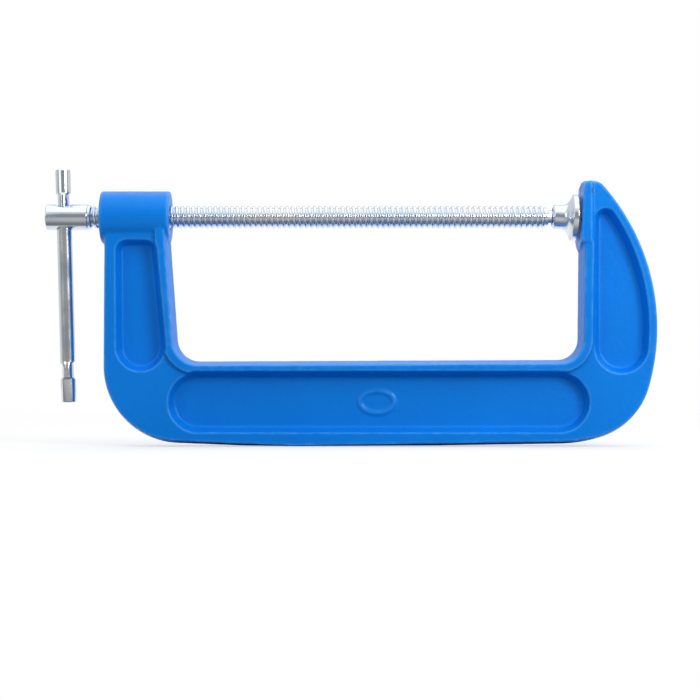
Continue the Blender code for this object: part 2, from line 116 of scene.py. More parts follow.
def throat_edge(offset, leg_z, jaw_z):
    """The inner edge of the C, leg to jaw, moved by offset into the metal."""
    heel = (throat_heel[0] - offset, throat_heel[1] - offset)
    toe = (throat_toe[0] + offset, throat_toe[1] - offset)
    leg_lean = (throat_heel[0] - throat_leg_top[0]) / (throat_leg_top[1] - throat_heel[1])
    jaw_lean = (throat_jaw_top[0] - throat_toe[0]) / (throat_jaw_top[1] - throat_toe[1])
    leg = (heel[0] - leg_lean * (leg_z - heel[1]), leg_z)
    jaw = (toe[0] + jaw_lean * (jaw_z - toe[1]), jaw_z)
    bends = fillet(leg, heel, toe, throat_heel_radius + offset, 14)
    bends += fillet(heel, toe, jaw, throat_toe_radius + offset, 14)
    return [leg] + bends + [jaw]


def body_outline():
    """The whole C without its flange, as it stands at mid-thickness before the back is ground."""
    spread = jaw_back_radius - toe_radius
    toe = (
        jaw_back_centre[0] + spread * math.cos(toe_angle),
        jaw_back_centre[1] + spread * math.sin(toe_angle),
    )
    drop = sole_radius - toe_radius
    sole = (toe[0] - drop * math.cos(sole_angle), toe[1] - drop * math.sin(sole_angle))
    heel_end = tangent_angle(flat_start, heel_centre, heel_radius, -1)
    sole_arc = arc(sole, sole_radius, tangent_angle(flat_end, sole, sole_radius, 1), sole_angle, 16)
    rise = jaw_top - jaw_tip_radius - jaw_back_centre[1]
    run = math.sqrt((jaw_back_radius - jaw_tip_radius) ** 2 - rise ** 2)
    tip = (jaw_back_centre[0] + run, jaw_top - jaw_tip_radius)
    tip_angle = math.atan2(rise, run)
    nose = (throat_jaw_top[0] + body_setback + jaw_nose_radius, jaw_top - jaw_nose_radius)
    heel_arc = arc(heel_centre, heel_radius, -math.pi, heel_end, 32)
    lowest = (-23 * MM, -ground_off)
    return (
        [(leg_outer, leg_top)]
        + heel_arc
        + [flat_start, lowest, flat_end]
        + sole_arc
        + arc(toe, toe_radius, sole_angle, toe_angle, 28)[1:]
        + arc(jaw_back_centre, jaw_back_radius, toe_angle, tip_angle, 40)[1:]
        + arc(tip, jaw_tip_radius, tip_angle, math.pi / 2, 10)[1:]
        + arc(nose, jaw_nose_radius, math.pi / 2, math.pi, 8)
        + throat_edge(body_setback, leg_top, throat_jaw_end)[::-1]
    )


def leg_panel():
    """A panel with its narrow end up: small corners at the top and one round foot."""
    centre, radius, top = (-85.1 * MM, 40.1 * MM), 7.9 * MM, 81.2 * MM
    left, right, corner = -93.2 * MM, -81.0 * MM, 2.5 * MM
    start = tangent_angle((left, top), centre, radius, 1)
    end = tangent_angle((right, top), centre, radius, -1) + 2 * math.pi
    foot = arc(centre, radius, start, end, 28)
    upper = fillet(foot[-1], (right, top), (left, top), corner, 8)
    upper += fillet((right, top), (left, top), foot[0], corner, 8)
    return upper + foot


def back_panel():
    """A long slot with both ends round."""
    low, high, left, right = 7.5 * MM, 27.8 * MM, -72.0 * MM, 93.6 * MM
    radius, middle = (high - low) / 2, (high + low) / 2
    round_left = arc((left + radius, middle), radius, math.pi / 2, 3 * math.pi / 2, 28)
    return round_left + arc((right - radius, middle), radius, -math.pi / 2, math.pi / 2, 28)


def jaw_panel():
    """A fin: straight beside the throat, curved along the jaw's back, with a round foot."""
    wall, sweep, tip_radius, foot_radius = 99.6 * MM, 81.4 * MM, 2.4 * MM, 8.8 * MM
    run = wall + tip_radius - jaw_back_centre[0]
    rise = math.sqrt((sweep - tip_radius) ** 2 - run ** 2)
    tip = (wall + tip_radius, jaw_back_centre[1] + rise)
    foot_run = wall + foot_radius - jaw_back_centre[0]
    drop = math.sqrt((sweep - foot_radius) ** 2 - foot_run ** 2)
    foot = (wall + foot_radius, jaw_back_centre[1] - drop)
    foot_angle = math.atan2(-drop, foot_run)
    tip_angle = math.atan2(rise, run)
    return (
        arc(foot, foot_radius, -math.pi, foot_angle, 24)
        + arc(jaw_back_centre, sweep, foot_angle, tip_angle, 36)[1:]
        + arc(tip, tip_radius, tip_angle, math.pi, 10)[1:]
    )


weld_reach = 0.002 * MM


def plain_mesh(name, source):
    """The shape of an object with its modifiers, as a mesh at the origin; the object goes."""
    bpy.context.view_layer.update()
    depsgraph = bpy.context.evaluated_depsgraph_get()
    mesh = bpy.data.meshes.new_from_object(source.evaluated_get(depsgraph))
    mesh.name = name
    mesh.transform(source.matrix_world)
    bpy.data.objects.remove(source, do_unlink=True)
    return mesh


def place(name, mesh):
    """An object for a mesh, curve, lamp or camera, put in the scene at the origin."""
    piece = bpy.data.objects.new(name, mesh)
    bpy.context.scene.collection.objects.link(piece)
    return piece


def weld(mesh):
    """Joins points that coincide and turns every face outwards."""
    shape = bmesh.new()
    shape.from_mesh(mesh)
    bmesh.ops.remove_doubles(shape, verts=shape.verts, dist=weld_reach)
    bmesh.ops.recalc_face_normals(shape, faces=shape.faces)
    shape.to_mesh(mesh)
    shape.free()
    return mesh


# FRONT stands an outline drawn as (x, z) up to face the front. ACROSS turns one drawn as (y, z) so
# that its thickness runs along X.
FRONT = Matrix.Rotation(math.radians(90), 4, "X")
ACROSS = Matrix(((0, 0, 1, 0), (1, 0, 0, 0), (0, 1, 0, 0), (0, 0, 0, 1)))


def plate(name, outline, half, draft=0.0, grow=0.0, turn=FRONT, at=(0, 0, 0)):
    """An outline given thickness, narrowing from its middle to both faces where it has draft."""
    curve = bpy.data.curves.new(name, "CURVE")
    curve.dimensions = "2D"
    curve.fill_mode = "BOTH"
    spline = curve.splines.new("POLY")
    spline.points.add(len(outline) - 1)
    for point, (x, y) in zip(spline.points, outline):
        point.co = (x, y, 0, 1)
    spline.use_cyclic_u = True
    stretch = 1.0
    if draft:
        curve.bevel_depth = draft
        curve.bevel_resolution = 0
        curve.offset = grow - draft
        stretch = half / draft
    else:
        curve.extrude = half
    cut = place(name, curve)
    cut.matrix_world = Matrix.Translation(at) @ turn @ Matrix.Diagonal((1, 1, stretch, 1))
    return place(name, weld(plain_mesh(name, cut)))


def turn_about_screw(name, profile, steps, sharp=40):
    """A body of revolution about the screw's axis, from (radius, x) points, right end first."""
    mesh = bpy.data.meshes.new(name)
    mesh.from_pydata([(r, 0, x) for r, x in profile], [(i, i + 1) for i in range(len(profile) - 1)], [])
    blank = place(name, mesh)
    blank.matrix_world = Matrix.Translation((0, 0, screw_height)) @ Matrix.Rotation(math.pi / 2, 4, "Y")
    screw = blank.modifiers.new("Turn", "SCREW")
    screw.steps = screw.render_steps = steps
    screw.use_merge_vertices = True
    screw.merge_threshold = 0.000005
    turned = weld(plain_mesh(name, blank))
    turned.shade_smooth()
    turned.set_sharp_from_angle(angle=math.radians(sharp))
    return turned


def combine(target, operation, other):
    """Adds an exact boolean to the target; gives back the other shape, to be removed later."""
    cut = target.modifiers.new(other.name, "BOOLEAN")
    cut.operation = operation
    cut.solver = "EXACT"
    cut.object = other
    return other


boss_left, boss_right = -101.7 * MM, -73.6 * MM
boss_radius, boss_round = 10.55 * MM, 0.8 * MM
bore_radius, bore_chamfer = 4.75 * MM, 0.8 * MM
anvil_face, anvil_z = 92.3 * MM, 91.7 * MM
anvil_back, anvil_round = 96.6 * MM, 2.0 * MM
face_lean = math.radians(3.2)
panel_reach, panel_flare = 10 * MM, 4 * MM

blank = plate("frame_blank", body_outline(), body_half, draft=body_draft)
tools = []
outer = throat_edge(flange_width, flange_leg_end, throat_jaw_end)
inner = throat_edge(0.0, flange_leg_end, throat_jaw_end)
tools.append(combine(blank, "UNION", plate("flange", outer + inner[::-1], flange_half, draft=flange_draft)))
for panel in (leg_panel, back_panel, jaw_panel):
    for way in (-1, 1):
        sunk = plate(
            panel.__name__, panel(), panel_reach, draft=panel_flare, grow=panel_flare,
            at=(0, way * (web_half + panel_reach), 0),
        )
        tools.append(combine(blank, "DIFFERENCE", sunk))
boss = [(0, boss_right)]
boss += arc((boss_radius - boss_round, boss_right - boss_round), boss_round, math.pi / 2, 0, 6)
boss += arc((boss_radius - boss_round, boss_left + boss_round), boss_round, 0, -math.pi / 2, 6)
boss += [(0, boss_left)]
tools.append(combine(blank, "UNION", place("boss", turn_about_screw("boss", boss, 96))))

# The anvil is a block with a rounded top, and a disc with flat sides that stands proud of it. Both
# lean back with the face.
proud = 0.3 * MM
block_low, block_high, block_left = 82.3 * MM, 106.85 * MM, anvil_face + proud
low_left = (block_left + (block_low - anvil_z) * math.tan(face_lean), block_low)
top_left = (block_left + (block_high - anvil_z) * math.tan(face_lean), block_high)
block = [low_left, (anvil_back, block_low), (anvil_back, block_high)]
block += fillet((anvil_back, block_high), top_left, low_left, anvil_round, 6)
block = plate("anvil_block", block, anvil_half)
block_shape = bmesh.new()
block_shape.from_mesh(block.data)
crown = [
    e for e in block_shape.edges
    if min(v.co.z for v in e.verts) > block_high - anvil_round
    and abs(e.verts[0].co.y - e.verts[1].co.y) < 0.1 * MM
]
bmesh.ops.bevel(
    block_shape, geom=crown, offset=anvil_round, offset_type="OFFSET", segments=5, profile=0.5,
    affect="EDGES", clamp_overlap=True,
)
block_shape.to_mesh(block.data)
block_shape.free()
tools.append(combine(blank, "UNION", block))
disc_radius, disc_chord = 12.6 * MM, 9.7 * MM
chord = math.acos(disc_chord / disc_radius)
disc = arc((0, 0), disc_radius, chord, math.pi - chord, 24)
disc += arc((0, 0), disc_radius, math.pi + chord, 2 * math.pi - chord, 24)
disc_half = (anvil_back - anvil_face) / 2 - proud
lean = Matrix.Rotation(face_lean, 4, "Y")
disc_at = Vector((anvil_face, 0, anvil_z)) + lean @ Vector((disc_half, 0, 0))
tools.append(combine(blank, "UNION", plate("anvil_disc", disc, disc_half, turn=lean @ ACROSS, at=disc_at)))

# A plain raised oval stands in the long panel, on both sides, where such castings carry a mark.
oval_x, oval_z = 10.1 * MM, 17.8 * MM
oval_wide, oval_tall = 7.6 * MM, 5.1 * MM
oval_rim, oval_rise = 1.3 * MM, 0.55 * MM


def oval_outline(inset):
    """The oval, moved in towards its middle by inset."""
    wide, tall = oval_wide - inset, oval_tall - inset
    turns = [2 * math.pi * i / 48 for i in range(48)]
    return [(oval_x + wide * math.cos(t), oval_z + tall * math.sin(t)) for t in turns]


ring = plate("oval", oval_outline(0.0), web_half + oval_rise)
ring_hole = plate("oval_hole", oval_outline(oval_rim), web_half + 1 * MM)
combine(ring, "DIFFERENCE", ring_hole)
ring = place("oval_ring", plain_mesh("oval_ring", ring))
bpy.data.objects.remove(ring_hole, do_unlink=True)
tools.append(combine(blank, "UNION", ring))

past = 1 * MM
bore = [
    (0, boss_right + past),
    (bore_radius + bore_chamfer + past, boss_right + past),
    (bore_radius, boss_right - bore_chamfer),
    (bore_radius, boss_left + bore_chamfer),
    (bore_radius + bore_chamfer + past, boss_left - past),
    (0, boss_left - past),
]
tools.append(combine(blank, "DIFFERENCE", place("bore", turn_about_screw("bore", bore, 96))))

# The sand's grain and the pull of the thick paint round every edge come from remeshing the exact
# blank finely, letting it relax, and raising a shallow grain along its normals.
sand = blank.modifiers.new("Sand", "REMESH")
sand.mode = "VOXEL"
sand.voxel_size = 0.5 * MM
sand.use_smooth_shade = True
relax = blank.modifiers.new("Relax", "SMOOTH")
relax.factor = 0.5
relax.iterations = 3


def new_tree(name, kind, sockets_in, sockets_out):
    """A node group with named inputs and outputs, each given as (name, socket type, default)."""
    tree = bpy.data.node_groups.new(name, kind)
    for label, socket_type, value in sockets_in:
        made = tree.interface.new_socket(label, in_out="INPUT", socket_type=socket_type)
        if value is not None:
            made.default_value = value
    for label, socket_type in sockets_out:
        tree.interface.new_socket(label, in_out="OUTPUT", socket_type=socket_type)
    return tree, tree.nodes.new("NodeGroupInput"), tree.nodes.new("NodeGroupOutput")


def add(tree, kind, links=(), **settings):
    """A node with its properties set, and its inputs linked or given values by index or name."""
    node = tree.nodes.new(kind)
    for key, value in settings.items():
        setattr(node, key, value)
    for key, value in dict(links).items():
        if isinstance(value, bpy.types.NodeSocket):
            tree.links.new(value, node.inputs[key])
        else:
            node.inputs[key].default_value = value
    return node


def calc(tree, operation, *values):
    """A math node on up to three sockets or numbers; gives its output socket."""
    return add(tree, "ShaderNodeMath", dict(enumerate(values)), operation=operation).outputs[0]


def set_inputs(modifier, tree, values):
    """Sets a Geometry Nodes modifier's inputs by the sockets' identifiers."""
    ids = {item.name: item.identifier for item in tree.interface.items_tree if item.in_out == "INPUT"}
    for label, value in values.items():
        modifier[ids[label]] = value


grain_tree, grain_in, grain_out = new_tree(
    "cast_grain", "GeometryNodeTree",
    [("Geometry", "NodeSocketGeometry", None), ("Depth", "NodeSocketFloat", 0.05 * MM),
     ("Grains per metre", "NodeSocketFloat", 450.0), ("Material", "NodeSocketMaterial", None)],
    [("Geometry", "NodeSocketGeometry")],
)
grain_place = add(grain_tree, "GeometryNodeInputPosition").outputs[0]
grain_noise = add(
    grain_tree, "ShaderNodeTexNoise",
    {"Vector": grain_place, "Scale": grain_in.outputs["Grains per metre"], "Detail": 1.0},
).outputs[0]
grain_lift = calc(grain_tree, "SUBTRACT", grain_noise, 0.6)
grain_lift = calc(grain_tree, "MULTIPLY", grain_lift, grain_in.outputs["Depth"])
grain_normal = add(grain_tree, "GeometryNodeInputNormal").outputs[0]
grain_shift = add(
    grain_tree, "ShaderNodeVectorMath", {0: grain_normal, "Scale": grain_lift}, operation="SCALE"
).outputs[0]
grain_set = add(
    grain_tree, "GeometryNodeSetPosition", {"Geometry": grain_in.outputs["Geometry"], "Offset": grain_shift}
)
grain_whole = add(grain_tree, "GeometryNodeRealizeInstances", {"Geometry": grain_set.outputs[0]})
grain_dressed = add(
    grain_tree, "GeometryNodeSetMaterial",
    {"Geometry": grain_whole.outputs[0], "Material": grain_in.outputs["Material"]},
)
grain_tree.links.new(grain_dressed.outputs[0], grain_out.inputs[0])
enamel = bpy.data.materials.new("blue_enamel")
grain = blank.modifiers.new("Grain", "NODES")
grain.node_group = grain_tree
set_inputs(grain, grain_tree, {"Depth": 0.10 * MM, "Grains per metre": 420.0, "Material": enamel})
thin = blank.modifiers.new("Thin", "DECIMATE")
thin.ratio = 0.5

casting_mesh = plain_mesh("frame_casting", blank)
for tool in tools:
    bpy.data.objects.remove(tool, do_unlink=True)
casting_mesh.shade_smooth()

# The back is ground flat, which takes off the ridge that the draft leaves there.
ground_at = 0.02 * MM
casting_points = np.empty(len(casting_mesh.vertices) * 3)
casting_mesh.vertices.foreach_get("co", casting_points)
casting_points = casting_points.reshape(-1, 3)
casting_points[:, 2] = np.maximum(casting_points[:, 2], ground_at)
casting_mesh.vertices.foreach_set("co", casting_points.ravel())
casting_mesh.update()


def mark_edges(mesh, reach):
    """Stores how far each point stands out past its neighbours, 0.5 where it is flat, as "edge"."""
    count = len(mesh.vertices)
    points = np.empty(count * 3)
    mesh.vertices.foreach_get("co", points)
    points = points.reshape(-1, 3)
    normals = np.empty(count * 3)
    mesh.vertex_normals.foreach_get("vector", normals)
    normals = normals.reshape(-1, 3)
    pairs = np.empty(len(mesh.edges) * 2, dtype=np.int32)
    mesh.edges.foreach_get("vertices", pairs)
    pairs = pairs.reshape(-1, 2)
    degree = np.bincount(pairs.ravel(), minlength=count)
    apart = points[pairs[:, 0]] - points[pairs[:, 1]]
    bend = np.einsum("ij,ij->i", apart, normals[pairs[:, 0]] - normals[pairs[:, 1]])
    bend /= np.einsum("ij,ij->i", apart, apart) + 1e-12
    value = np.zeros(count)
    for side in (0, 1):
        value += np.bincount(pairs[:, side], weights=bend, minlength=count)
    value /= np.maximum(degree, 1)
    for _ in range(3):
        blurred = np.zeros(count)
        for side in (0, 1):
            blurred += np.bincount(pairs[:, side], weights=value[pairs[:, 1 - side]], minlength=count)
        value = 0.5 * value + 0.5 * blurred / np.maximum(degree, 1)
    store = mesh.attributes.new("edge", "FLOAT", "POINT")
    store.data.foreach_set("value", np.clip(0.5 + value * reach, 0, 1).astype(np.float32))


mark_edges(casting_mesh, 0.5 * MM)

enamel.use_nodes = True
paint = enamel.node_tree
paint.nodes.clear()
where = add(paint, "ShaderNodeTexCoord").outputs["Object"]
edge = add(paint, "ShaderNodeAttribute", attribute_name="edge").outputs["Fac"]
cloud = add(paint, "ShaderNodeTexNoise", {"Vector": where, "Scale": 28.0, "Detail": 3.0}).outputs[0]
coat_tone = add(paint, "ShaderNodeMixRGB", {
    0: cloud, 1: (0.0004, 0.172, 0.660, 1), 2: (0.0008, 0.218, 0.810, 1)}).outputs[0]
# Raised edges are mixed towards a paler blue: a painted highlight along every rim, standing in for the pale
# specular lines there.
painted_edge_highlight = add(paint, "ShaderNodeMapRange", {0: edge, 1: 0.56, 2: 0.80, 3: 0.0, 4: 0.60}).outputs[0]
painted_highlight_tone = add(paint, "ShaderNodeMixRGB", {
    0: painted_edge_highlight, 1: coat_tone, 2: (0.070, 0.360, 0.880, 1)}).outputs[0]

# One chip of paint, down to the brown iron, on the corner of the anvil block.
chip_centre, chip_stretch = (96.4 * MM, -9.9 * MM, 102.6 * MM), (1.5, 1.0, 0.75)
chip_away = add(
    paint, "ShaderNodeVectorMath", {0: where, 1: chip_centre}, operation="SUBTRACT").outputs[0]
chip_shape = add(
    paint, "ShaderNodeVectorMath", {0: chip_away, 1: chip_stretch}, operation="MULTIPLY").outputs[0]
chip_reach = add(paint, "ShaderNodeVectorMath", {0: chip_shape}, operation="LENGTH").outputs[1]
chip_ragged = add(paint, "ShaderNodeTexNoise", {"Vector": where, "Scale": 1400.0, "Detail": 2.0}).outputs[0]
chip_ragged = calc(paint, "MULTIPLY", calc(paint, "SUBTRACT", chip_ragged, 0.5), 1.2 * MM)
chip_edge = calc(paint, "ADD", chip_reach, chip_ragged)
chip = add(paint, "ShaderNodeMapRange", {0: chip_edge, 1: 0.70 * MM, 2: 0.95 * MM, 3: 1.0, 4: 0.0}).outputs[0]

# Rubbed spots: the paint is dulled where a raised edge has knocked against other tools.
rub_noise = add(paint, "ShaderNodeTexNoise", {"Vector": where, "Scale": 160.0, "Detail": 4.0}).outputs[0]
rub = calc(paint, "MULTIPLY",
           add(paint, "ShaderNodeMapRange", {0: edge, 1: 0.62, 2: 0.85}).outputs[0],
           add(paint, "ShaderNodeMapRange", {0: rub_noise, 1: 0.60, 2: 0.72}).outputs[0])
# This tone carries the painted edge highlight, with the rubbed spots mixed over it.
highlight_and_rub_tone = add(paint, "ShaderNodeMixRGB", {
    0: calc(paint, "MULTIPLY", rub, 0.35), 1: painted_highlight_tone, 2: (0.16, 0.42, 0.80, 1)}).outputs[0]
skin_tone = add(paint, "ShaderNodeMixRGB", {0: chip, 1: highlight_and_rub_tone, 2: (0.16, 0.085, 0.055, 1)}).outputs[0]

# Orange peel in the paint over the grain of the sand, and the flash left along the parting line.
peel = add(paint, "ShaderNodeTexNoise", {"Vector": where, "Scale": 900.0, "Detail": 2.0}).outputs[0]
sandy = add(paint, "ShaderNodeTexNoise", {
    "Vector": where, "Scale": 380.0, "Detail": 3.0, "Roughness": 0.6}).outputs[0]
off_parting = calc(paint, "ABSOLUTE", add(paint, "ShaderNodeSeparateXYZ", {0: where}).outputs[1])
flash = add(paint, "ShaderNodeMapRange", {
    0: off_parting, 1: 0.12 * MM, 2: 0.40 * MM, 3: 1.0, 4: 0.0}).outputs[0]
relief = calc(paint, "ADD", calc(paint, "MULTIPLY", peel, 0.35),
              calc(paint, "ADD", sandy, calc(paint, "MULTIPLY", flash, 1.4)))
relief = calc(paint, "SUBTRACT", relief, calc(paint, "MULTIPLY", chip, 1.5))
bump = add(paint, "ShaderNodeBump", {"Height": relief, "Strength": 0.65, "Distance": 0.12 * MM}).outputs[0]
gloss = add(paint, "ShaderNodeMapRange", {0: sandy, 1: 0.3, 2: 0.7, 3: 0.28, 4: 0.40}).outputs[0]
gloss = calc(paint, "ADD", gloss, calc(paint, "MULTIPLY", calc(paint, "MAXIMUM", rub, chip), 0.25))
paint_shader = add(paint, "ShaderNodeBsdfPrincipled", {
    "Base Color": skin_tone, "Roughness": gloss, "Normal": bump, "Specular IOR Level": 0.4,
    "Specular Tint": (0.35, 0.75, 1.0, 1)})
add(paint, "ShaderNodeOutputMaterial", {0: paint_shader.outputs[0]})

casting = place("frame_casting", casting_mesh)
casting_mesh.materials.clear()
casting_mesh.materials.append(enamel)
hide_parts("frame")
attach(casting, "frame")

# ---------------------------------------------------------------------------------------------
# The spindle: one steel bar, turned to a thick head at the handle's end and to a neck and a ball at
# the other. The thread is rolled, so its crests are round, and the head is cross drilled for the
# handle. All of it is bright zinc plated.
# ---------------------------------------------------------------------------------------------
head_left, head_right = spindle_low[0], -107.1 * MM
head_radius, head_round = 5.2 * MM, 0.45 * MM
shoulder_radius, shoulder_right = 4.85 * MM, -105.2 * MM
pitch = 2.24 * MM
crest, root = 4.55 * MM, 3.72 * MM
thread_start = -106.5 * MM
thread_turns = 83
thread_end = thread_start + thread_turns * pitch
neck_radius = 2.9 * MM
ball_x, ball_radius = 85.5 * MM, 3.5 * MM
hole_x, hole_radius = -117.0 * MM, 3.4 * MM
row_per_turn, columns = 14, 44

film, film_in, film_out = new_tree(
    "zinc_film", "ShaderNodeTree",
    [("Place", "NodeSocketVector", None), ("Lines", "NodeSocketVector", None),
     ("Line depth", "NodeSocketFloat", 0.5)],
    [("Colour", "NodeSocketColor"), ("Roughness", "NodeSocketFloat"), ("Height", "NodeSocketFloat")],
)
film_place = film_in.outputs["Place"]
film_cloud = add(film, "ShaderNodeTexNoise", {"Vector": film_place, "Scale": 130.0, "Detail": 3.0}).outputs[0]
film_warm = add(film, "ShaderNodeTexNoise", {"Vector": film_place, "Scale": 45.0, "Detail": 1.0}).outputs[0]
film_lines = add(
    film, "ShaderNodeTexNoise",
    {"Vector": film_in.outputs["Lines"], "Scale": 1.0, "Detail": 3.0, "Roughness": 0.65},
).outputs[0]
film_tint = add(film, "ShaderNodeMixRGB", {
    0: add(film, "ShaderNodeMapRange", {0: film_warm, 1: 0.42, 2: 0.62}).outputs[0],
    1: (0.63, 0.70, 0.79, 1), 2: (0.73, 0.75, 0.77, 1)}).outputs[0]
film_dark = add(film, "ShaderNodeMapRange", {0: film_lines, 1: 0.30, 2: 0.55, 3: 0.16, 4: 0.0}).outputs[0]
film_colour = add(film, "ShaderNodeMixRGB", {0: film_dark, 1: film_tint, 2: (0.42, 0.44, 0.47, 1)}).outputs[0]
film.links.new(film_colour, film_out.inputs["Colour"])
film_gloss = add(film, "ShaderNodeMapRange", {0: film_cloud, 1: 0.35, 2: 0.68, 3: 0.10, 4: 0.19}).outputs[0]
film_gloss = calc(film, "ADD", film_gloss, calc(film, "MULTIPLY", film_lines, 0.06))
film.links.new(film_gloss, film_out.inputs["Roughness"])
film_height = calc(film, "MULTIPLY", film_lines, film_in.outputs["Line depth"])
film_height = calc(film, "ADD", film_height, calc(film, "MULTIPLY", film_cloud, 0.4))
film.links.new(film_height, film_out.inputs["Height"])

# On turned pieces the tool's lines run round the screw's axis.
around, around_in, around_out = new_tree(
    "lines_round_screw", "ShaderNodeTree",
    [("Place", "NodeSocketVector", None), ("Height of axis", "NodeSocketFloat", screw_height)],
    [("Lines", "NodeSocketVector")],
)
lines_per_metre = 5200.0
around_split = add(around, "ShaderNodeSeparateXYZ", {0: around_in.outputs["Place"]})
around_up = calc(around, "SUBTRACT", around_split.outputs[2], around_in.outputs["Height of axis"])
around_squares = [calc(around, "POWER", side, 2.0) for side in (around_split.outputs[1], around_up)]
around_out_from = calc(around, "SQRT", calc(around, "ADD", *around_squares))
around_turn = calc(around, "ARCTAN2", around_up, around_split.outputs[1])
around_lines = add(around, "ShaderNodeCombineXYZ", {
    0: calc(around, "MULTIPLY", around_split.outputs[0], lines_per_metre),
    1: calc(around, "MULTIPLY", around_out_from, lines_per_metre),
    2: calc(around, "MULTIPLY", calc(around, "ABSOLUTE", around_turn), 2.0)}).outputs[0]
around.links.new(around_lines, around_out.inputs["Lines"])


def zinc(name, line_depth, own_lines=None):
    """Bright zinc plate over steel, with the lines of the tool that shaped the piece."""
    reach = 0.02 * MM
    plated = bpy.data.materials.new(name)
    plated.use_nodes = True
    tree = plated.node_tree
    tree.nodes.clear()
    here = add(tree, "ShaderNodeTexCoord")
    if own_lines:
        lines = add(
            tree, "ShaderNodeVectorMath", {0: here.outputs["UV"], 1: own_lines}, operation="MULTIPLY"
        ).outputs[0]
    else:
        turned_lines = add(tree, "ShaderNodeGroup", {}, node_tree=around)
        tree.links.new(here.outputs["Object"], turned_lines.inputs["Place"])
        lines = turned_lines.outputs["Lines"]
    skin = add(tree, "ShaderNodeGroup", {}, node_tree=film)
    tree.links.new(here.outputs["Object"], skin.inputs["Place"])
    tree.links.new(lines, skin.inputs["Lines"])
    skin.inputs["Line depth"].default_value = line_depth
    relief = add(tree, "ShaderNodeBump", {
        "Height": skin.outputs["Height"], "Strength": 0.30, "Distance": reach})
    shader = add(tree, "ShaderNodeBsdfPrincipled", {
        "Base Color": skin.outputs["Colour"], "Metallic": 1.0,
        "Roughness": skin.outputs["Roughness"], "Normal": relief.outputs[0]})
    add(tree, "ShaderNodeOutputMaterial", {0: shader.outputs[0]})
    return plated


spindle_zinc = zinc("zinc_spindle", 0.35)

head_outline = [
    (0, shoulder_right), (root, shoulder_right), (shoulder_radius, shoulder_right - 0.9 * MM),
    (shoulder_radius, head_right),
]
head_outline += arc((head_radius - head_round, head_right - head_round), head_round, math.pi / 2, 0, 6)
head_outline += arc((head_radius - head_round, head_left + head_round), head_round, 0, -math.pi / 2, 6)
head_outline += [(0, head_left)]
head = place("head", turn_about_screw("head", head_outline, 96))
drill_mesh = bpy.data.meshes.new("drill")
drill_shape = bmesh.new()
bmesh.ops.create_cone(
    drill_shape, cap_ends=True, segments=64, radius1=hole_radius, radius2=hole_radius, depth=4 * head_radius
)
drill_shape.to_mesh(drill_mesh)
drill_shape.free()
drill_mesh.transform(Matrix.Translation((hole_x, 0, screw_height)))
drill = place("drill", drill_mesh)
combine(head, "DIFFERENCE", drill)
broken_edge = head.modifiers.new("Broken edge", "BEVEL")
broken_edge.width = 0.18 * MM
broken_edge.segments = 2
broken_edge.limit_method = "ANGLE"
broken_edge.angle_limit = math.radians(40)
head_mesh = plain_mesh("head", head)
bpy.data.objects.remove(drill, do_unlink=True)

neck_outline = arc(
    (0, ball_x), ball_radius, math.pi / 2, -math.acos(neck_radius / ball_radius), 16
)
neck_outline += [(neck_radius, thread_end + 0.2 * MM)]
neck_outline += [(root, thread_end - 0.9 * MM), (0, thread_end - 0.9 * MM)]
neck_mesh = turn_about_screw("neck", neck_outline, 48)

# The thread: a grid rolled up along a helix. Rows follow the crest and the groove, and each row's
# end meets the start of the row one turn further on.
roll, roll_in, roll_out = new_tree(
    "rolled_thread", "GeometryNodeTree",
    [("Start", "NodeSocketFloat", 0.0), ("Turns", "NodeSocketFloat", 10.0),
     ("Pitch", "NodeSocketFloat", 0.002), ("Crest radius", "NodeSocketFloat", 0.004),
     ("Root radius", "NodeSocketFloat", 0.003), ("Axis height", "NodeSocketFloat", 0.0),
     ("Rows", "NodeSocketInt", 100), ("Columns", "NodeSocketInt", 32),
     ("Material", "NodeSocketMaterial", None)],
    [("Geometry", "NodeSocketGeometry")],
)
rin = roll_in.outputs
sheet = add(roll, "GeometryNodeMeshGrid", {
    "Size X": 1.0, "Size Y": 1.0, "Vertices X": rin["Rows"], "Vertices Y": rin["Columns"]})
spot = add(roll, "ShaderNodeSeparateXYZ", {0: add(roll, "GeometryNodeInputPosition").outputs[0]})
along = calc(roll, "ADD", spot.outputs[0], 0.5)
about = calc(roll, "ADD", spot.outputs[1], 0.5)
turns_in = calc(roll, "MULTIPLY", along, calc(roll, "ADD", rin["Turns"], 3.0))
roll_length = calc(roll, "MULTIPLY", rin["Turns"], rin["Pitch"])
roll_end = calc(roll, "ADD", rin["Start"], roll_length)
run = calc(roll, "ADD", rin["Start"], calc(
    roll, "MULTIPLY", rin["Pitch"], calc(roll, "ADD", calc(roll, "SUBTRACT", turns_in, 2.0), about)))
run_x = calc(roll, "MINIMUM", calc(roll, "MAXIMUM", run, rin["Start"]), roll_end)
off_crest = calc(roll, "MULTIPLY", calc(roll, "ABSOLUTE", calc(
    roll, "SUBTRACT", calc(roll, "FRACT", turns_in), 0.5)), 2.0)
form = add(roll, "ShaderNodeMapRange", {0: off_crest, 1: 0.30, 2: 0.96, 3: 1.0, 4: 0.0},
           interpolation_type="SMOOTHSTEP").outputs[0]
grow_in = add(roll, "ShaderNodeMapRange", {
    0: run_x, 1: rin["Start"], 2: calc(roll, "ADD", rin["Start"], rin["Pitch"])},
    interpolation_type="SMOOTHSTEP").outputs[0]
die_out = add(roll, "ShaderNodeMapRange", {
    0: run_x, 1: roll_end, 2: calc(roll, "SUBTRACT", roll_end, rin["Pitch"])},
    interpolation_type="SMOOTHSTEP").outputs[0]
form = calc(roll, "MULTIPLY", form, calc(roll, "MINIMUM", grow_in, die_out))
wall = calc(roll, "ADD", rin["Root radius"], calc(
    roll, "MULTIPLY", form, calc(roll, "SUBTRACT", rin["Crest radius"], rin["Root radius"])))
half_pitch = calc(roll, "MULTIPLY", rin["Pitch"], 0.5)
kept = calc(roll, "MULTIPLY",
            calc(roll, "GREATER_THAN", run, calc(roll, "SUBTRACT", rin["Start"], half_pitch)),
            calc(roll, "LESS_THAN", run, calc(roll, "ADD", roll_end, half_pitch)))
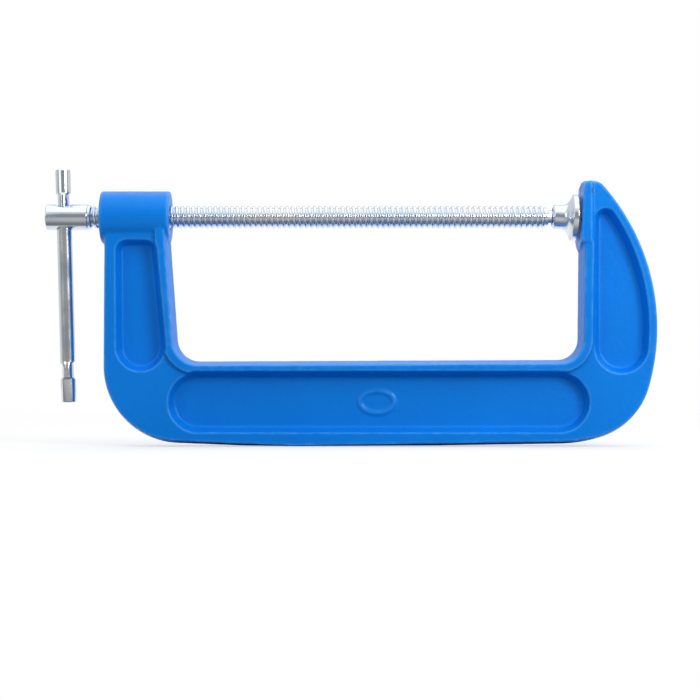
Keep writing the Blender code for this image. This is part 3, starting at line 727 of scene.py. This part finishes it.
wall = calc(roll, "MULTIPLY", wall, kept)
spin = calc(roll, "MULTIPLY", about, 2 * math.pi)
rolled_y = calc(roll, "MULTIPLY", wall, calc(roll, "COSINE", spin))
rolled_z = calc(roll, "ADD", rin["Axis height"], calc(roll, "MULTIPLY", wall, calc(roll, "SINE", spin)))
rolled_at = add(roll, "ShaderNodeCombineXYZ", {0: run_x, 1: rolled_y, 2: rolled_z}).outputs[0]
rolled = add(roll, "GeometryNodeSetPosition", {"Geometry": sheet.outputs[0], "Position": rolled_at})
closed = add(roll, "GeometryNodeMergeByDistance", {"Geometry": rolled.outputs[0], "Distance": 0.02 * MM})
smooth = add(roll, "GeometryNodeSetShadeSmooth", {"Geometry": closed.outputs[0]})
whole = add(roll, "GeometryNodeRealizeInstances", {"Geometry": smooth.outputs[0]})
dressed = add(roll, "GeometryNodeSetMaterial", {"Geometry": whole.outputs[0], "Material": rin["Material"]})
roll.links.new(dressed.outputs[0], roll_out.inputs[0])

thread = place("thread", bpy.data.meshes.new("thread"))
rolling = thread.modifiers.new("Rolled thread", "NODES")
rolling.node_group = roll
set_inputs(rolling, roll, {
    "Start": thread_start, "Turns": float(thread_turns), "Pitch": pitch, "Crest radius": crest,
    "Root radius": root, "Axis height": screw_height, "Rows": (thread_turns + 3) * row_per_turn + 1,
    "Columns": columns + 1, "Material": spindle_zinc})
thread_mesh = plain_mesh("thread", thread)
weld(thread_mesh)


def join(name, meshes):
    """One mesh from several, smooth except at edges that are sharp already."""
    shape = bmesh.new()
    for mesh in meshes:
        shape.from_mesh(mesh)
    joined = bpy.data.meshes.new(name)
    shape.to_mesh(joined)
    shape.free()
    joined.shade_smooth()
    return joined


head_mesh.shade_smooth()
head_mesh.set_sharp_from_angle(angle=math.radians(35))
spindle_mesh = join("spindle", (head_mesh, neck_mesh, thread_mesh))
for part_mesh in (head_mesh, neck_mesh, thread_mesh):
    bpy.data.meshes.remove(part_mesh)
spindle = place("spindle_screw", spindle_mesh)
spindle_mesh.materials.clear()
spindle_mesh.materials.append(spindle_zinc)
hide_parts("spindle")
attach(spindle, "spindle")

# ---------------------------------------------------------------------------------------------
# The swivel pad: turned from steel bar, bored for the ball and closed in round it at the collar, so
# that the disc can turn and tip on the screw. Bright zinc plated, with fine lathe lines.
# ---------------------------------------------------------------------------------------------
collar_left, collar_radius, collar_lip = 81.3 * MM, 4.875 * MM, 1.2 * MM
flare_left, flare_long, flare_tall, flare_turn = 85.0 * MM, 4.6 * MM, 7.9 * MM, math.radians(61)
pad_face, pad_radius, pad_round = 91.4 * MM, 9.42 * MM, 0.35 * MM
play = 0.3 * MM
mouth, socket = neck_radius + play, ball_radius + play

groove, groove_half, groove_deep = 0.56 * pad_radius, 0.04 * pad_radius, 0.12 * MM
pad_outline = [(0, pad_face), (groove - groove_half, pad_face)]
pad_outline += [(groove, pad_face - groove_deep), (groove + groove_half, pad_face)]
pad_outline += arc((pad_radius - pad_round, pad_face - pad_round), pad_round, math.pi / 2, 0, 5)
flare = []
for i in range(25):
    bend = flare_turn * (1 - i / 24)
    flare_radius = collar_radius + flare_tall * (1 - math.cos(bend))
    flare.append((flare_radius, flare_left + flare_long * math.sin(bend)))
shoulder_round = pad_radius - flare[0][0]
pad_outline += arc((flare[0][0], flare[0][1] + shoulder_round), shoulder_round, 0, -math.pi / 2, 4)
pad_outline += flare
pad_outline += arc((collar_radius - collar_lip, collar_left + collar_lip), collar_lip, 0, -math.pi / 2, 10)
pad_outline += [(mouth + 0.3 * MM, collar_left)]
pad_outline += arc((0, ball_x), socket, -math.acos(mouth / socket), math.pi / 2, 18)
pad_mesh = turn_about_screw("swivel_pad", pad_outline, 128, sharp=50)
ball_centre = Matrix.Translation((ball_x, 0, screw_height))
pad_mesh.transform(ball_centre @ Matrix.Rotation(face_lean, 4, "Y") @ ball_centre.inverted())
pad = place("swivel_pad_turned", pad_mesh)
pad_mesh.materials.clear()
pad_mesh.materials.append(zinc("zinc_pad", 0.8))
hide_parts("swivel_pad")
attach(pad, "swivel_pad")

# ---------------------------------------------------------------------------------------------
# The tommy bar: drawn steel rod, cut to length and pinched in a press near both ends, so that it
# slides through the head but can't drop out. Bright zinc plated, with lines along its length.
# ---------------------------------------------------------------------------------------------
rod_radius = 3.05 * MM
rod_top, rod_bottom = 19.29 * MM, -75.2 * MM
rod_stub, rod_round = 9.3 * MM, 0.5 * MM
pinch_half, pinch_wide = 2.3 * MM, 3.55 * MM
rod_lean = math.radians(1.5)
rod_columns = 64


def pinched_end(end, way, left_taper, right_taper):
    """Rings from a rod's end inwards, as (height, left half, right half, depth half)."""
    rings = [(end, 0.0, 0.0, 0.0)]
    for i in range(6):
        bend = math.pi / 2 * i / 5
        wide = rod_radius - rod_round * (1 - math.sin(bend))
        rings.append((end - way * rod_round * (1 - math.cos(bend)), wide, wide, wide))
    stub = end - way * rod_stub
    steps = 40
    reach = 7.5 * MM
    for i in range(steps + 1):
        down = reach * i / steps
        halves = []
        for taper in (left_taper, right_taper):
            into = min(down / (1.2 * MM), 1.0)
            back = min(max((down - (reach - taper)) / taper, 0.0), 1.0)
            squeeze = into * into * (3 - 2 * into) * (1 - back * back * (3 - 2 * back))
            halves.append(rod_radius - (rod_radius - pinch_half) * squeeze)
        squeezed = (2 * rod_radius - halves[0] - halves[1]) / (2 * (rod_radius - pinch_half))
        rings.append((stub - way * down, *halves, rod_radius + (pinch_wide - rod_radius) * squeezed))
    return rings


rod_rings = pinched_end(rod_top, 1, 1.5 * MM, 1.5 * MM)
rod_rings += pinched_end(rod_bottom, -1, 3.6 * MM, 1.4 * MM)[::-1]
rod_shape = bmesh.new()
rod_uv = rod_shape.loops.layers.uv.new("length_and_turn")
rod_rows = []
for height, left, right, deep in rod_rings:
    row = []
    for i in range(rod_columns):
        turn = 2 * math.pi * i / rod_columns
        half = right if math.cos(turn) > 0 else left
        row.append(rod_shape.verts.new((half * math.cos(turn), deep * math.sin(turn), height)))
    rod_rows.append((height, row))
for (high, upper), (low, lower) in zip(rod_rows, rod_rows[1:]):
    for i in range(rod_columns):
        j = (i + 1) % rod_columns
        face = rod_shape.faces.new((upper[i], lower[i], lower[j], upper[j]))
        marks = ((i, high), (i, low), (i + 1, low), (i + 1, high))
        for loop, (column, height) in zip(face.loops, marks):
            loop[rod_uv].uv = (column / rod_columns, height)
bmesh.ops.remove_doubles(rod_shape, verts=rod_shape.verts, dist=weld_reach)
bmesh.ops.recalc_face_normals(rod_shape, faces=rod_shape.faces)
rod_mesh = bpy.data.meshes.new("tommy_bar")
rod_shape.to_mesh(rod_mesh)
rod_shape.free()
rod_mesh.transform(
    Matrix.Translation((hole_x, 0, screw_height)) @ Matrix.Rotation(-rod_lean, 4, "Y")
)
rod_mesh.shade_smooth()
rod_mesh.set_sharp_from_angle(angle=math.radians(40))
rod = place("tommy_bar_rod", rod_mesh)
rod_mesh.materials.clear()
rod_mesh.materials.append(zinc("zinc_bar", 0.6, own_lines=(60.0, 90.0, 0.0)))
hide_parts("tommy_bar")
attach(rod, "tommy_bar")

# ---------------------------------------------------------------------------------------------
# The stage: a pale bench top that fades into white, soft studio light from above, and a darker room
# on the camera's side, which gives the plated steel its grey middle band.
# ---------------------------------------------------------------------------------------------
floor_half, floor_z = 3.0, -0.2 * MM
floor_mesh = bpy.data.meshes.new("floor")
floor_corners = [(x * floor_half, y * floor_half, floor_z) for x, y in ((-1, -1), (1, -1), (1, 1), (-1, 1))]
floor_mesh.from_pydata(floor_corners, [], [(0, 1, 2, 3)])
floor = place("floor", floor_mesh)
pale = bpy.data.materials.new("pale_bench")
pale.use_nodes = True
bench = pale.node_tree
bench.nodes.clear()
bench_place = add(bench, "ShaderNodeTexCoord").outputs["Object"]
bench_seen = add(bench, "ShaderNodeLightPath").outputs["Is Camera Ray"]
bench_depth = add(bench, "ShaderNodeSeparateXYZ", {0: bench_place}).outputs[1]
bench_far = add(bench, "ShaderNodeVectorMath", {0: bench_place}, operation="LENGTH").outputs[1]
bench_near = add(bench, "ShaderNodeMapRange", {
    0: bench_depth, 1: -0.14, 2: -0.05, 3: 0.46, 4: 0.20}).outputs[0]
bench_back = add(bench, "ShaderNodeMapRange", {
    0: bench_depth, 1: -0.02, 2: 0.01, 3: 0.0, 4: 0.75}).outputs[0]
bench_room = calc(bench, "ADD", bench_near, bench_back)
bench_grey = add(bench, "ShaderNodeCombineColor", {
    0: bench_room, 1: bench_room, 2: bench_room}).outputs[0]
bench_tone = add(bench, "ShaderNodeMixRGB", {
    0: bench_seen, 1: bench_grey, 2: (0.85, 0.85, 0.85, 1)}).outputs[0]
bench_matt = add(bench, "ShaderNodeBsdfDiffuse", {0: bench_tone}).outputs[0]
bench_glow = add(bench, "ShaderNodeEmission", {0: (1, 1, 1, 1), 1: 1.0}).outputs[0]
bench_lift = add(bench, "ShaderNodeMixShader", {
    0: calc(bench, "MULTIPLY", bench_seen, 0.62), 1: bench_matt, 2: bench_glow}).outputs[0]
bench_clear = add(bench, "ShaderNodeBsdfTransparent").outputs[0]
bench_fade = add(bench, "ShaderNodeMapRange", {0: bench_far, 1: 0.20, 2: 0.55},
                 interpolation_type="SMOOTHSTEP").outputs[0]
bench_fade = calc(bench, "MULTIPLY", bench_fade, bench_seen)
bench_skin = add(bench, "ShaderNodeMixShader", {0: bench_fade, 1: bench_lift, 2: bench_clear}).outputs[0]
add(bench, "ShaderNodeOutputMaterial", {0: bench_skin})
floor_mesh.materials.append(pale)


def soft_light(name, at, aim, size, watts):
    """A rectangular soft box at one point, turned to another."""
    lamp = bpy.data.lights.new(name, "AREA")
    lamp.shape = "RECTANGLE"
    lamp.size, lamp.size_y = size
    lamp.energy = watts
    light = place(name, lamp)
    light.location = at
    light.rotation_euler = (Vector(aim) - Vector(at)).to_track_quat("-Z", "Y").to_euler()


middle = (0, 0, 0.05)
soft_light("key", (0.42, -0.46, 0.28), (0.10, 0, 0.06), (0.22, 0.22), 2.1)
soft_light("overhead", (0.05, 0.0, 0.95), middle, (1.7, 1.2), 4.6)
soft_light("fill", (-0.75, -0.75, 0.45), middle, (0.6, 0.6), 1.4)

world = bpy.data.worlds.new("studio")
bpy.context.scene.world = world
world.use_nodes = True
sky = world.node_tree
sky.nodes.clear()
seen = add(sky, "ShaderNodeLightPath").outputs["Is Camera Ray"]
way = add(sky, "ShaderNodeSeparateXYZ", {0: add(sky, "ShaderNodeTexCoord").outputs["Generated"]})
behind = add(sky, "ShaderNodeMapRange", {0: way.outputs[1], 1: -0.5, 2: 0.2}).outputs[0]
above = add(sky, "ShaderNodeMapRange", {0: way.outputs[2], 1: 0.40, 2: 0.55}).outputs[0]
lit = calc(sky, "MAXIMUM", behind, above)
room = calc(sky, "ADD", 0.32, calc(sky, "MULTIPLY", lit, 0.52))
level = add(sky, "ShaderNodeMix", {0: seen, 2: room, 3: 1.0}).outputs[0]
sky_shader = add(sky, "ShaderNodeBackground", {0: (1, 1, 1, 1), 1: level})
add(sky, "ShaderNodeOutputWorld", {0: sky_shader.outputs[0]})
bpy.context.scene.view_settings.view_transform = "Standard"

lens = bpy.data.cameras.new("camera")
lens.lens = 88.2
lens.sensor_width = 36
lens.clip_start = 0.01
camera = place("camera", lens)
camera.location = (-0.8 * MM, -0.697, 38.8 * MM)
camera.rotation_euler = (math.pi / 2, 0, 0)
bpy.context.scene.camera = camera
